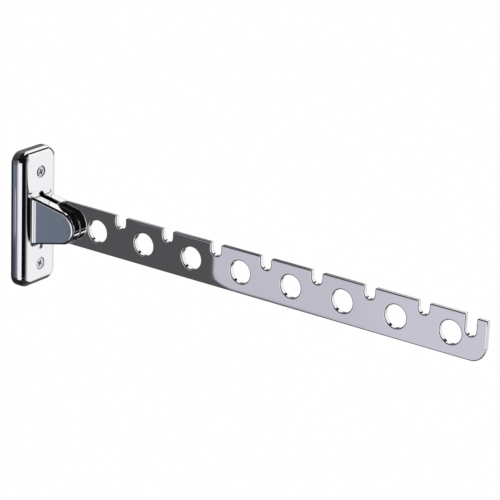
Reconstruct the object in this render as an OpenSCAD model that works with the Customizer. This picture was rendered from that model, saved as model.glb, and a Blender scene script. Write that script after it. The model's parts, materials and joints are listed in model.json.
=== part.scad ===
// Wall mounted clothes valet: a cast plate with a clevis, and a notched flat arm that folds up.
// Origin: the middle of the plate's back face. The wall is the plane Y = 0, and the valet stands out to -Y.

/* [Wall plate] */
// Width of the plate
plate_w = 29.5; // [27:0.5:40]
// Height of the plate
plate_h = 79; // [74:1:110]
// Depth of the plate from the wall to its flat front
plate_d = 9.7; // [8:0.1:14]
// Radius of the rounded front edge
edge_r = 4.8; // [1.5:0.1:5.5]
// Corner radius of the flat front
front_corner_r = 2; // [0.5:0.25:5]
// Thickness of the plate's side walls
side_wall = 2.4; // [1.6:0.1:3.5]
// Thickness of the plate's front wall
front_wall = 3; // [2.2:0.1:4]
// Thickness of the ribs in the hollow back
rib_t = 2; // [1.2:0.1:3]

/* [Clevis] */
// Distance of the pin's axis from the wall
pin_out = 30; // [27:0.5:45]
// Height of the pin's axis above the plate's middle
pin_up = 0.5; // [-4:0.5:4]
// Radius of the round nose
nose_r = 9.5; // [8:0.1:11]
// Slope of the top of the ears
top_slope = 10; // [0:1:15]
// Slope of the underside of the ears
under_slope = 13; // [0:1:18]
// Thickness of one ear
ear_t = 6.2; // [5:0.1:8]
// Radius of the ears' outer edges
ear_edge_r = 1.5; // [0.5:0.25:3]
// Radius of the fillet where the ears grow out of the plate
root_fillet = 2.5; // [1:0.25:3]
// How far the slot is sunk into the plate's front
slot_sink = 1; // [0.5:0.25:1.5]
// How far the slot runs on above the ears
slot_over = 2; // [0.5:0.5:3]
// How far the slot runs on below the ears
slot_under = 4.5; // [3:0.5:6]

/* [Pin] */
// Diameter of the pin
pin_d = 6; // [4:0.5:8]
// Depth of the pin's blind seat in one ear
pin_seat = 4.4; // [3:0.1:4.8]
// Chamfer at the pin's ends
pin_chamfer = 0.5; // [0.2:0.1:1]

/* [Arm] */
// Thickness of the strip
arm_t = 3; // [2:0.25:5]
// Height of the strip
arm_h = 24; // [20:0.5:30]
// Height of the strip's middle above the pin's axis
arm_up = 1.5; // [-2:0.5:2]
// Radius of the strip's long edges
arm_edge_r = 0.6; // [0.2:0.1:0.8]
// Number of holes
hole_count = 8; // [1:1:10]
// Diameter of the holes
hole_d = 12.5; // [6:0.5:16]
// Distance from hole to hole
hole_pitch = 32; // [28:0.5:40]
// Distance from the pin's axis to the first hole
first_hole = 21.5; // [21:0.5:40]
// Radius of the rounded rims of the holes
hole_edge_r = 0.6; // [0.2:0.1:0.8]
// Width of the hanger notches
notch_w = 6.4; // [4:0.2:8]
// Depth of the hanger notches
notch_deep = 6.8; // [4:0.2:8]
// Depth of the last notch, at the tip
tip_notch_deep = 11.2; // [6:0.2:13]
// Distance from the last hole to the last notch
tip_notch_out = 11.2; // [9:0.2:16]
// Rounding of the notches' mouths
mouth_r = 0.8; // [0.2:0.1:1.2]
// Distance from the last hole to the end of the arm
tip_out = 20.5; // [18:0.5:30]
// Corner radius under the end of the arm
tip_r = 8.5; // [1:0.5:12]
// How much lower the end's upper edge is than the arm's
tip_drop = 1; // [0:0.25:2]
// Radius of the arm's round root
root_r = 13; // [9:0.5:14]
// Height of the heel that rests on the slot's floor
heel_h = 7; // [4:0.5:8]

/* [Screws] */
// Distance from the plate's ends to the screws
screw_inset = 12.5; // [10:0.5:14]
// Diameter of the screws' thread
screw_d = 3.5; // [3:0.1:4]
// Diameter of the screws' neck inside the plate
neck_d = 2.6; // [2:0.1:2.8]
// Diameter of the screws' heads
head_d = 6.6; // [6:0.1:8]
// Height of the screw heads' straight rims
head_rim = 0.3; // [0.1:0.05:0.5]
// Length of a screw over all
screw_l = 18; // [16:1:50]
// Length of the screws' points
point_l = 5; // [3:0.5:6]
// Depth of the upper head below the plate's front
upper_sink = 0.1; // [0:0.05:0.6]
// Depth of the lower head below the plate's front
lower_sink = 0.4; // [0:0.05:0.6]
// Diameter of the screw holes in the plate
screw_hole_d = 4.2; // [3.8:0.1:5]
// Diameter of the bosses round the screw holes
boss_d = 9; // [7:0.5:11]

/* [Fits] */
// Gap on each side of the arm in its slot
slot_gap = 0.3; // [0.1:0.05:0.6]
// Radial clearance of the pin in the arm
arm_fit = 0.05; // [0.01:0.01:0.1]
// Radial clearance of the pin in the ears
ear_fit = 0.02; // [0.01:0.01:0.1]
// Radial gap round a screw's head
head_gap = 0.2; // [0.1:0.05:0.5]

/* [Hidden] */
$fn = 96;
// A cut runs this far past the face that it opens
over = 1;
chrome = [0.78, 0.79, 0.82];
steel = [0.62, 0.63, 0.66];

// Plate
corner_r = edge_r + front_corner_r;
hollow_d = plate_d - front_wall;
screw_up = plate_h / 2 - screw_inset;
rib_up = screw_up / 2;

// Clevis, in the side view: x runs out from the wall and y runs up
slot_w = arm_t + 2 * slot_gap;
clevis_w = slot_w + 2 * ear_t;
slot_floor = plate_d - slot_sink;
pin_at = [pin_out, pin_up];
top_normal = [sin(top_slope), cos(top_slope)];
under_normal = [sin(under_slope), -cos(under_slope)];
// The round nose stands this little proud of the flat sides, so that their surfaces cross and don't only touch
nose_proud = 0.03;
// The revolved nose keeps this far from its own axis, and the flat-sided part fills its core
nose_core_r = 0.5;
side_top = pin_at + (nose_r - nose_proud) * top_normal;
side_under = pin_at + (nose_r - nose_proud) * under_normal;
ear_top = side_top[1] + (side_top[0] - plate_d) * tan(top_slope);
ear_under = side_under[1] - (side_under[0] - plate_d) * tan(under_slope);
slot_top = ear_top + slot_over;
slot_bottom = ear_under - slot_under;

// Arm, in the same side view
arm_mid = pin_up + arm_up;
arm_top = arm_mid + arm_h / 2;
arm_bottom = arm_mid - arm_h / 2;
hole_at = [for (i = [0 : hole_count - 1]) pin_out + first_hole + i * hole_pitch];
last_hole = hole_at[hole_count - 1];
tip_x = last_hole + tip_out;
tip_notch_x = last_hole + tip_notch_out;
heel_top = [slot_floor, arm_bottom + heel_h];
// The heel's back edge crosses the root's circle by this much instead of only touching it
heel_bite = 0.1;

// Where the line from a point touches a circle, on the upper side
function touch(from, centre, r) =
    let (d = centre - from,
         turn = atan2(d[1], d[0]) + asin(r / norm(d)),
         reach = sqrt(norm(d) * norm(d) - r * r))
    from + reach * [cos(turn), sin(turn)];

// Draws in the plate's front view: x is across, y is up and z is out from the wall
module front_view() {
    rotate([90, 0, 0])
        children();
}

// Draws in the side view: x is out from the wall, y is up and z is across
module side_view() {
    rotate([90, 0, -90])
        children();
}

module round_rectangle(w, h, r) {
    square([w - 2 * r, h], center = true);
    square([w, h - 2 * r], center = true);
    for (x = [-1, 1], y = [-1, 1])
        translate([x * (w / 2 - r), y * (h / 2 - r)])
            circle(r);
}

module quarter_disc(r) {
    intersection() {
        circle(r);
        square(r);
    }
}

// A corner filled outside an arc of radius r, which touches both axes
module cove(r) {
    difference() {
        square(r);
        translate([r, r])
            circle(r);
    }
}

// What lies outside a quarter disc of radius r, up to a little past its corner
module outside_quarter(r) {
    difference() {
        square(r + over);
        circle(r);
    }
}

module plate_body() {
    round_top = plate_d - edge_r;
    linear_extrude(round_top)
        round_rectangle(plate_w, plate_h, corner_r);
    linear_extrude(plate_d)
        round_rectangle(plate_w - 2 * edge_r, plate_h - 2 * edge_r, front_corner_r);
    for (side = [-1, 1]) {
        translate([side * (plate_w / 2 - edge_r), 0, round_top])
            rotate([90, 0, 0])
                linear_extrude(plate_h - 2 * corner_r, center = true)
                    scale_x(side)
                        quarter_disc(edge_r);
        translate([0, side * (plate_h / 2 - edge_r), round_top])
            rotate([90, 0, 90])
                linear_extrude(plate_w - 2 * corner_r, center = true)
                    scale_x(side)
                        quarter_disc(edge_r);
    }
    for (i = [0 : 3])
        translate([(i == 0 || i == 3 ? 1 : -1) * (plate_w / 2 - corner_r),
                   (i < 2 ? 1 : -1) * (plate_h / 2 - corner_r), round_top])
            rotate([0, 0, 90 * i])
                rotate_extrude(angle = 90)
                    translate([front_corner_r, 0])
                        quarter_disc(edge_r);
}

module scale_x(side) {
    if (side < 0)
        mirror([1, 0])
            children();
    else
        children();
}

// The hollow in the plate's back, with a rib down the middle, two cross ribs and two screw bosses left standing
module plate_hollow() {
    difference() {
        translate([0, 0, -over])
            linear_extrude(hollow_d + over)
                round_rectangle(plate_w - 2 * side_wall, plate_h - 2 * side_wall, corner_r - side_wall);
        translate([-rib_t / 2, -plate_h / 2, 0])
            cube([rib_t, plate_h, plate_d]);
        for (side = [-1, 1]) {
            translate([-plate_w / 2, side * rib_up - rib_t / 2, 0])
                cube([plate_w, rib_t, plate_d]);
            translate([0, side * screw_up, 0])
                cylinder(d = boss_d, h = plate_d);
        }
    }
}

// A countersunk hole for a head whose face lies at the depth sink
module screw_hole(sink) {
    mouth = head_d + 2 * head_gap;
    cone = (mouth - screw_hole_d) / 2;
    cone_top = plate_d - sink - head_rim;
    translate([0, 0, -over])
        cylinder(d = screw_hole_d, h = plate_d + 2 * over);
    translate([0, 0, cone_top - cone])
        cylinder(d1 = screw_hole_d, d2 = mouth, h = cone);
    translate([0, 0, cone_top])
        cylinder(d = mouth, h = plate_d - cone_top + over);
}

// The section through the nose, from its outer edge at x = 0 inwards
module nose_section(deep) {
    translate([-deep, -clevis_w / 2])
        square([deep - ear_edge_r, clevis_w]);
    translate([-deep, ear_edge_r - clevis_w / 2])
        square([deep, clevis_w - 2 * ear_edge_r]);
    for (side = [-1, 1])
        translate([-ear_edge_r, side * (clevis_w / 2 - ear_edge_r)])
            circle(ear_edge_r);
}

// Cuts a rounded edge along one sloping side, from inside the nose into the plate
module side_edge_cut(from, slope) {
    translate([-ear_edge_r, 0, -over])
        linear_extrude((from[0] - plate_d) / cos(slope) + 2 * over)
            children();
}

// The ears and the gap between them as one block
module clevis_block() {
    root_x = plate_d - over;
    translate(pin_at)
        rotate_extrude()
            translate([nose_r, 0])
                nose_section(nose_r - nose_core_r);
    difference() {
        linear_extrude(clevis_w, center = true)
            polygon([
                side_top,
                [root_x, side_top[1] + (side_top[0] - root_x) * tan(top_slope)],
                [root_x, side_under[1] - (side_under[0] - root_x) * tan(under_slope)],
                side_under,
            ]);
        for (face = [0, 1])
            mirror([0, 0, face])
                translate([0, 0, clevis_w / 2 - ear_edge_r]) {
                    translate(side_top)
                        rotate([-90, 0, 90 - top_slope])
                            side_edge_cut(side_top, top_slope)
                                mirror([0, 1])
                                    outside_quarter(ear_edge_r);
                    translate(side_under)
                        rotate([90, 0, under_slope - 90])
                            side_edge_cut(side_under, under_slope)
                                outside_quarter(ear_edge_r);
                }
    }
}

// The fillet between a sloping side of the ears and the plate, in the side view
module slope_fillet_outline(root_y, slope) {
    rise = root_fillet * (1 - sin(slope)) / cos(slope);
    centre = [plate_d + root_fillet, root_y + rise];
    foot = centre - root_fillet * [sin(slope), cos(slope)];
    difference() {
        polygon([
            [plate_d - over, root_y - over],
            [plate_d - over, centre[1]],
            centre,
            foot,
            foot - [0, over],
        ]);
        translate(centre)
            circle(root_fillet);
    }
}

module root_fillets() {
    corner_x = clevis_w / 2 - ear_edge_r;
    // The corner fillets' axes are set level with the sloping edges this far out from the plate
    corner_out = 1.1 * root_fillet;
    corner_top = ear_top - corner_out * tan(top_slope) - ear_edge_r / cos(top_slope);
    corner_under = ear_under + corner_out * tan(under_slope) + ear_edge_r / cos(under_slope);
    side_view() {
        linear_extrude(2 * corner_x, center = true)
            slope_fillet_outline(ear_top, top_slope);
        linear_extrude(2 * corner_x, center = true)
            mirror([0, 1])
                slope_fillet_outline(-ear_under, under_slope);
    }
    front_view()
        for (side = [-1, 1]) {
            translate([side * clevis_w / 2, corner_under, plate_d])
                rotate([90, 0, 180])
                    linear_extrude(corner_top - corner_under)
                        scale_x(-side)
                            cove(root_fillet);
            for (end = [corner_top, corner_under])
                translate([side * corner_x, end, plate_d])
                    rotate([0, 0, end == corner_top ? (side > 0 ? 0 : 90) : (side > 0 ? 270 : 180)])
                        rotate_extrude(angle = 90)
                            difference() {
                                square([ear_edge_r + root_fillet, root_fillet]);
                                translate([ear_edge_r + root_fillet, root_fillet])
                                    circle(root_fillet);
                            }
        }
}

module slot_cut() {
    half = slot_w / 2;
    translate([0, 0, slot_floor])
        linear_extrude(pin_out + nose_r) {
            translate([-half, slot_bottom + half])
                square([slot_w, slot_top - slot_bottom - slot_w]);
            for (end = [slot_bottom + half, slot_top - half])
                translate([0, end])
                    circle(half);
        }
}

module pin_bore() {
    translate([pin_out, pin_up, -clevis_w / 2 - over])
        cylinder(d = pin_d + 2 * ear_fit, h = clevis_w / 2 + over + slot_w / 2 + pin_seat);
}

module wall_plate() {
    color(chrome)
        difference() {
            union() {
                front_view()
                    plate_body();
                side_view()
                    clevis_block();
                root_fillets();
            }
            front_view() {
                plate_hollow();
                slot_cut();
                translate([0, screw_up, 0])
                    screw_hole(upper_sink);
                translate([0, -screw_up, 0])
                    screw_hole(lower_sink);
            }
            side_view()
                pin_bore();
        }
}

module pivot_pin() {
    r = pin_d / 2;
    start = pin_chamfer - clevis_w / 2;
    length = slot_w / 2 + pin_seat - pin_chamfer - start;
    color(steel)
        side_view()
            translate([pin_out, pin_up, start])
                rotate_extrude()
                    polygon([
                        [0, 0],
                        [r - pin_chamfer, 0],
                        [r, pin_chamfer],
                        [r, length - pin_chamfer],
                        [r - pin_chamfer, length],
                        [0, length],
                    ]);
}

module notch(x, mouth_y, deep) {
    half = notch_w / 2;
    bottom = mouth_y - deep;
    translate([x, bottom + half])
        circle(half);
    translate([x - half, bottom + half])
        square([notch_w, deep]);
    for (side = [-1, 1])
        translate([x + side * half, mouth_y])
            mirror([0, 1])
                scale_x(side)
                    cove(mouth_r);
}

module strip_outline() {
    difference() {
        union() {
            translate([pin_out, arm_bottom])
                square([tip_x - tip_r - pin_out, arm_h]);
            translate([tip_x - tip_r - over, arm_bottom + tip_r])
                square([tip_r + over, arm_h - tip_r]);
            translate([tip_x - tip_r, arm_bottom + tip_r])
                circle(tip_r);
        }
        translate([tip_notch_x, arm_top - tip_drop])
            square([tip_out + over, tip_drop + over]);
        if (hole_count > 1)
            for (i = [0 : hole_count - 2])
                notch(hole_at[i] + hole_pitch / 2, arm_top, notch_deep);
        notch(tip_notch_x, arm_top - tip_drop, tip_notch_deep - tip_drop);
    }
}

// The strip with its round root, and the heel that stops the arm when it is level
module arm_blank() {
    linear_extrude(arm_t, center = true)
        strip_outline();
    difference() {
        translate([pin_out, pin_up, -arm_t / 2])
            cylinder(r = root_r, h = arm_t);
        for (edge = [arm_top, arm_bottom - root_r])
            translate([pin_out - root_r, edge, -arm_t])
                cube([2 * root_r, root_r, 2 * arm_t]);
    }
    linear_extrude(arm_t, center = true)
        polygon([
            [slot_floor, arm_bottom],
            heel_top,
            touch(heel_top, pin_at, root_r - heel_bite),
            pin_at,
            [pin_out, arm_bottom],
        ]);
}

// Cuts a rounded rim into one face of the strip, where a hole opens
module rim_cut() {
    rotate_extrude()
        translate([hole_d / 2, 0])
            difference() {
                translate([-over, 0])
                    square([hole_edge_r + over, hole_edge_r]);
                translate([hole_edge_r, 0])
                    circle(hole_edge_r);
            }
}

// Cuts a rounded edge along the strip
module edge_cut(length) {
    rotate([90, 0, 90])
        linear_extrude(length)
            outside_quarter(arm_edge_r);
}

module folding_arm() {
    half_t = arm_t / 2;
    edge_start = pin_out;
    color(chrome)
        side_view()
            difference() {
                arm_blank();
                translate([pin_out, pin_up, -arm_t])
                    cylinder(d = pin_d + 2 * arm_fit, h = 2 * arm_t);
                for (x = hole_at)
                    translate([x, arm_mid, 0]) {
                        translate([0, 0, -arm_t])
                            cylinder(d = hole_d, h = 2 * arm_t);
                        for (face = [0, 1])
                            mirror([0, 0, face])
                                translate([0, 0, half_t - hole_edge_r])
                                    rim_cut();
                    }
                for (face = [0, 1], under = [0, 1])
                    mirror([0, 0, face])
                        translate([edge_start, arm_mid, half_t - arm_edge_r])
                            mirror([0, under, 0])
                                translate([0, arm_h / 2 - arm_edge_r, 0])
                                    edge_cut(under == 0 ? tip_notch_x - edge_start : tip_x - tip_r - edge_start);
            }
}

// A countersunk wood screw; its head's face is at z = 0 and its point is at -screw_l
module screw(sink) {
    head_r = head_d / 2;
    neck_r = neck_d / 2;
    thread_r = screw_d / 2;
    thread_top = sink - plate_d;
    recess_l = head_d / 2;
    recess_w = head_d / 8;
    recess_deep = head_d / 4;
    difference() {
        rotate_extrude()
            polygon([
                [0, 0],
                [head_r, 0],
                [head_r, -head_rim],
                [neck_r, neck_r - head_r - head_rim],
                [neck_r, thread_top],
                [thread_r, thread_top],
                [thread_r, point_l - screw_l],
                [0, -screw_l],
            ]);
        for (turn = [0, 90])
            rotate([0, 0, turn])
                translate([-recess_l / 2, -recess_w / 2, -recess_deep])
                    cube([recess_l, recess_w, recess_deep + over]);
    }
}

module upper_screw() {
    color(steel)
        front_view()
            translate([0, screw_up, plate_d - upper_sink])
                screw(upper_sink);
}

module lower_screw() {
    color(steel)
        front_view()
            translate([0, -screw_up, plate_d - lower_sink])
                screw(lower_sink);
}

wall_plate();
pivot_pin();
folding_arm();
upper_screw();
lower_screw();
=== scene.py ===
import json
import math

import bmesh
import bpy
from mathutils import Matrix, Vector


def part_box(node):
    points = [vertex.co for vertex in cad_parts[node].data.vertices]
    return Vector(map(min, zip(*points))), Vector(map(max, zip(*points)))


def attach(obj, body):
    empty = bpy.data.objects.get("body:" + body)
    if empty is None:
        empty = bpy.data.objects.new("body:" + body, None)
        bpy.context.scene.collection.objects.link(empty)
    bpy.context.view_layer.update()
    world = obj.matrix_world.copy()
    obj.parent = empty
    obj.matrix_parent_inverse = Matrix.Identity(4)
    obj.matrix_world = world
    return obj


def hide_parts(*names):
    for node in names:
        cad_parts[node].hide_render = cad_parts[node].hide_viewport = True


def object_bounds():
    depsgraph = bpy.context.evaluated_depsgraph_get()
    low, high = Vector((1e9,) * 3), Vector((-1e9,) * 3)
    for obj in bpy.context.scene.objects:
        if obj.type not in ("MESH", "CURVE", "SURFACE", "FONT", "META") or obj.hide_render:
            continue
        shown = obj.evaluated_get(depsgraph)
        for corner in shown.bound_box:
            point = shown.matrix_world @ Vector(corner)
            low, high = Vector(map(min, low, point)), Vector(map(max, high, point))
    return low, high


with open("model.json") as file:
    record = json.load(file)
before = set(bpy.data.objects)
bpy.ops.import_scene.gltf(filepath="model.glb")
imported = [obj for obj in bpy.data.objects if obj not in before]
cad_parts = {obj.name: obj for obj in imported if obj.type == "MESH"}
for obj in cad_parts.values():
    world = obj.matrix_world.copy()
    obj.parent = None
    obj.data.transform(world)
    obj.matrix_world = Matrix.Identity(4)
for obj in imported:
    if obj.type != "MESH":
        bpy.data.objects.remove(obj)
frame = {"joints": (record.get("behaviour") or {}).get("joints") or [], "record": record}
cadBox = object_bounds()

mm = 0.001
pivotAt = Vector(frame["joints"][0]["pos_m"])
pivot = Vector((-pivotAt.y, pivotAt.z)) / mm  # in the side view
mounts = frame["record"]["mounts"]
holeMounts = [mount for mount in mounts if mount["name"].startswith("hanger_hole")]
# drawings are in millimetres, and these stand them up in the room
toMetres = Matrix.Scale(mm, 4)
frontView = Matrix(((1, 0, 0), (0, 0, -1), (0, 1, 0))).to_4x4() @ toMetres  # z is out from the wall
sideView = Matrix(((0, 0, -1), (-1, 0, 0), (0, 1, 0))).to_4x4() @ toMetres  # x is out, y is up
near = 0.001                 # points of a drawing closer than this are one
flat = math.radians(0.05)    # faces that lean less than this are one
steep = math.radians(60)     # faces that meet more sharply than this get a rounded edge


def onlyVerts(geom):
    return [item for item in geom if isinstance(item, bmesh.types.BMVert)]


def onlyEdges(geom):
    return [item for item in geom if isinstance(item, bmesh.types.BMEdge)]


def lineTo(bm, pen, x, y):
    made = bmesh.ops.extrude_vert_indiv(bm, verts=[pen])["verts"][0]
    made.co = (x, y, pen.co.z)
    return made


def arcTo(bm, pen, x, y, turn, steps):
    # swings the pen round a centre, anticlockwise for a positive turn
    swept = bmesh.ops.spin(
        bm,
        geom=[pen],
        cent=(x, y, pen.co.z),
        axis=(0, 0, 1),
        angle=math.radians(turn),
        steps=steps,
    )
    return onlyVerts(swept["geom_last"])[0]


def addCircle(bm, x, y, z, radius, steps):
    place = Matrix.Translation((x, y, z))
    circle = bmesh.ops.create_circle(bm, segments=steps, radius=radius, matrix=place)
    made = set(circle["verts"])
    return [edge for edge in bm.edges if made.issuperset(edge.verts)]


def atLevel(edge, z):
    return all(abs(vert.co.z - z) < near for vert in edge.verts)


def steepEdges(bm, *levels):
    # the edges at these heights where a wall meets a face
    return [
        edge for edge in bm.edges
        if any(atLevel(edge, z) for z in levels) and edge.calc_face_angle(0) > steep
    ]


def fillLevel(bm, z):
    # closes the open outlines at one height, and leaves the holes in them open
    bmesh.ops.remove_doubles(bm, verts=bm.verts[:], dist=near)
    rims = [edge for edge in bm.edges if len(edge.link_faces) < 2 and atLevel(edge, z)]
    bmesh.ops.triangle_fill(bm, use_beauty=True, edges=rims, normal=(0, 0, 1))
    bmesh.ops.dissolve_limit(bm, angle_limit=flat, verts=[], edges=bm.edges[:])


def wallTo(bm, edges, z, spread=1, centre=(0, 0)):
    # a wall from an outline to another height, where the outline is spread about a centre
    grown = bmesh.ops.extrude_edge_only(bm, edges=edges)["geom"]
    for vert in onlyVerts(grown):
        vert.co.x = centre[0] + (vert.co.x - centre[0]) * spread
        vert.co.y = centre[1] + (vert.co.y - centre[1]) * spread
        vert.co.z = z
    return [edge for edge in onlyEdges(grown) if atLevel(edge, z)]


def soften(bm, edges, radius, segments):
    bmesh.ops.bevel(
        bm,
        geom=edges,
        offset=radius,
        offset_type="OFFSET",
        segments=segments,
        profile=0.5,
        affect="EDGES",
        clamp_overlap=False,
        material=-1,
    )


def turnProfile(bm, points, steps):
    # spins a chain of (radius, height) round the drawing's z axis
    pen = bm.verts.new((points[0][0], 0, points[0][1]))
    chain = [pen]
    for radius, height in points[1:]:
        pen = bmesh.ops.extrude_vert_indiv(bm, verts=[pen])["verts"][0]
        pen.co = (radius, 0, height)
        chain.append(pen)
    lines = [edge for edge in bm.edges if edge.verts[0] in chain and edge.verts[1] in chain]
    bmesh.ops.spin(
        bm,
        geom=chain + lines,
        cent=(0, 0, 0),
        axis=(0, 0, 1),
        angle=2 * math.pi,
        steps=steps,
        use_merge=True,
    )


def toObject(bm, name, place=Matrix(), sharpAngle=35):
    mesh = bpy.data.meshes.new(name)
    bmesh.ops.transform(bm, matrix=place, verts=bm.verts[:])
    bmesh.ops.recalc_face_normals(bm, faces=bm.faces[:])
    bm.to_mesh(mesh)
    bm.free()
    mesh.shade_smooth()
    mesh.set_sharp_from_angle(angle=math.radians(sharpAngle))
    piece = bpy.data.objects.new(name, mesh)
    bpy.context.scene.collection.objects.link(piece)
    return piece


def cleanNormals(piece):
    modifier = piece.modifiers.new("clean normals", "WEIGHTED_NORMAL")
    modifier.mode = "FACE_AREA"
    modifier.weight = 50
    modifier.keep_sharp = True


def dress(piece, body, slot, material, *nodes):
    piece.data.materials.clear()
    piece.data.materials.append(material)
    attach(piece, body)
    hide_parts(*nodes)


def addNode(tree, kind, place, **settings):
    node = tree.nodes.new(kind)
    node.location = (place[0] * 200, -place[1] * 200)
    for key, value in settings.items():
        setattr(node, key, value)
    return node


def join(tree, source, output, target, entry):
    tree.links.new(source.outputs[output], target.inputs[entry])


def fillRamp(node, stops, interpolation="LINEAR"):
    ramp = node.color_ramp
    ramp.interpolation = interpolation
    while len(ramp.elements) > 1:
        ramp.elements.remove(ramp.elements[-1])
    ramp.elements[0].position = stops[0][0]
    ramp.elements[0].color = (*stops[0][1], 1)
    for position, colour in stops[1:]:
        ramp.elements.new(position).color = (*colour, 1)


camera = {
    "aim": (0, -150, 2),      # the middle of the arm
    "azimuth": -55.308,
    "elevation": 19.69,
    "roll": 2.415,
    "away": 1186.6,
    "slide": (-2.42, -11.88),  # from the picture's middle to the aim, to the right and up
    "pixelsPerUnit": 2264.7,
    "pictureWidth": 500,
    "sensor": 36,
    "clipEnd": 50,
}


def makeCamera():
    azimuth = math.radians(camera["azimuth"])
    elevation = math.radians(camera["elevation"])
    back = Vector((
        math.sin(azimuth) * math.cos(elevation),
        -math.cos(azimuth) * math.cos(elevation),
        math.sin(elevation),
    ))
    right = Vector((math.cos(azimuth), math.sin(azimuth), 0))
    up = back.cross(right)
    roll = Matrix.Rotation(math.radians(camera["roll"]), 3, back)
    right = roll @ right
    up = roll @ up
    place = Vector(camera["aim"]) + back * camera["away"]
    place -= right * camera["slide"][0] + up * camera["slide"][1]
    data = bpy.data.cameras.new("camera")
    data.sensor_width = camera["sensor"]
    data.lens = camera["pixelsPerUnit"] / camera["pictureWidth"] * camera["sensor"]
    data.clip_end = camera["clipEnd"]
    viewer = bpy.data.objects.new("camera", data)
    turned = Matrix((right, up, back)).transposed().to_4x4()
    viewer.matrix_world = Matrix.Translation(place * mm) @ turned
    bpy.context.scene.collection.objects.link(viewer)
    bpy.context.scene.camera = viewer


makeCamera()
print("camera in place")


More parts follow.
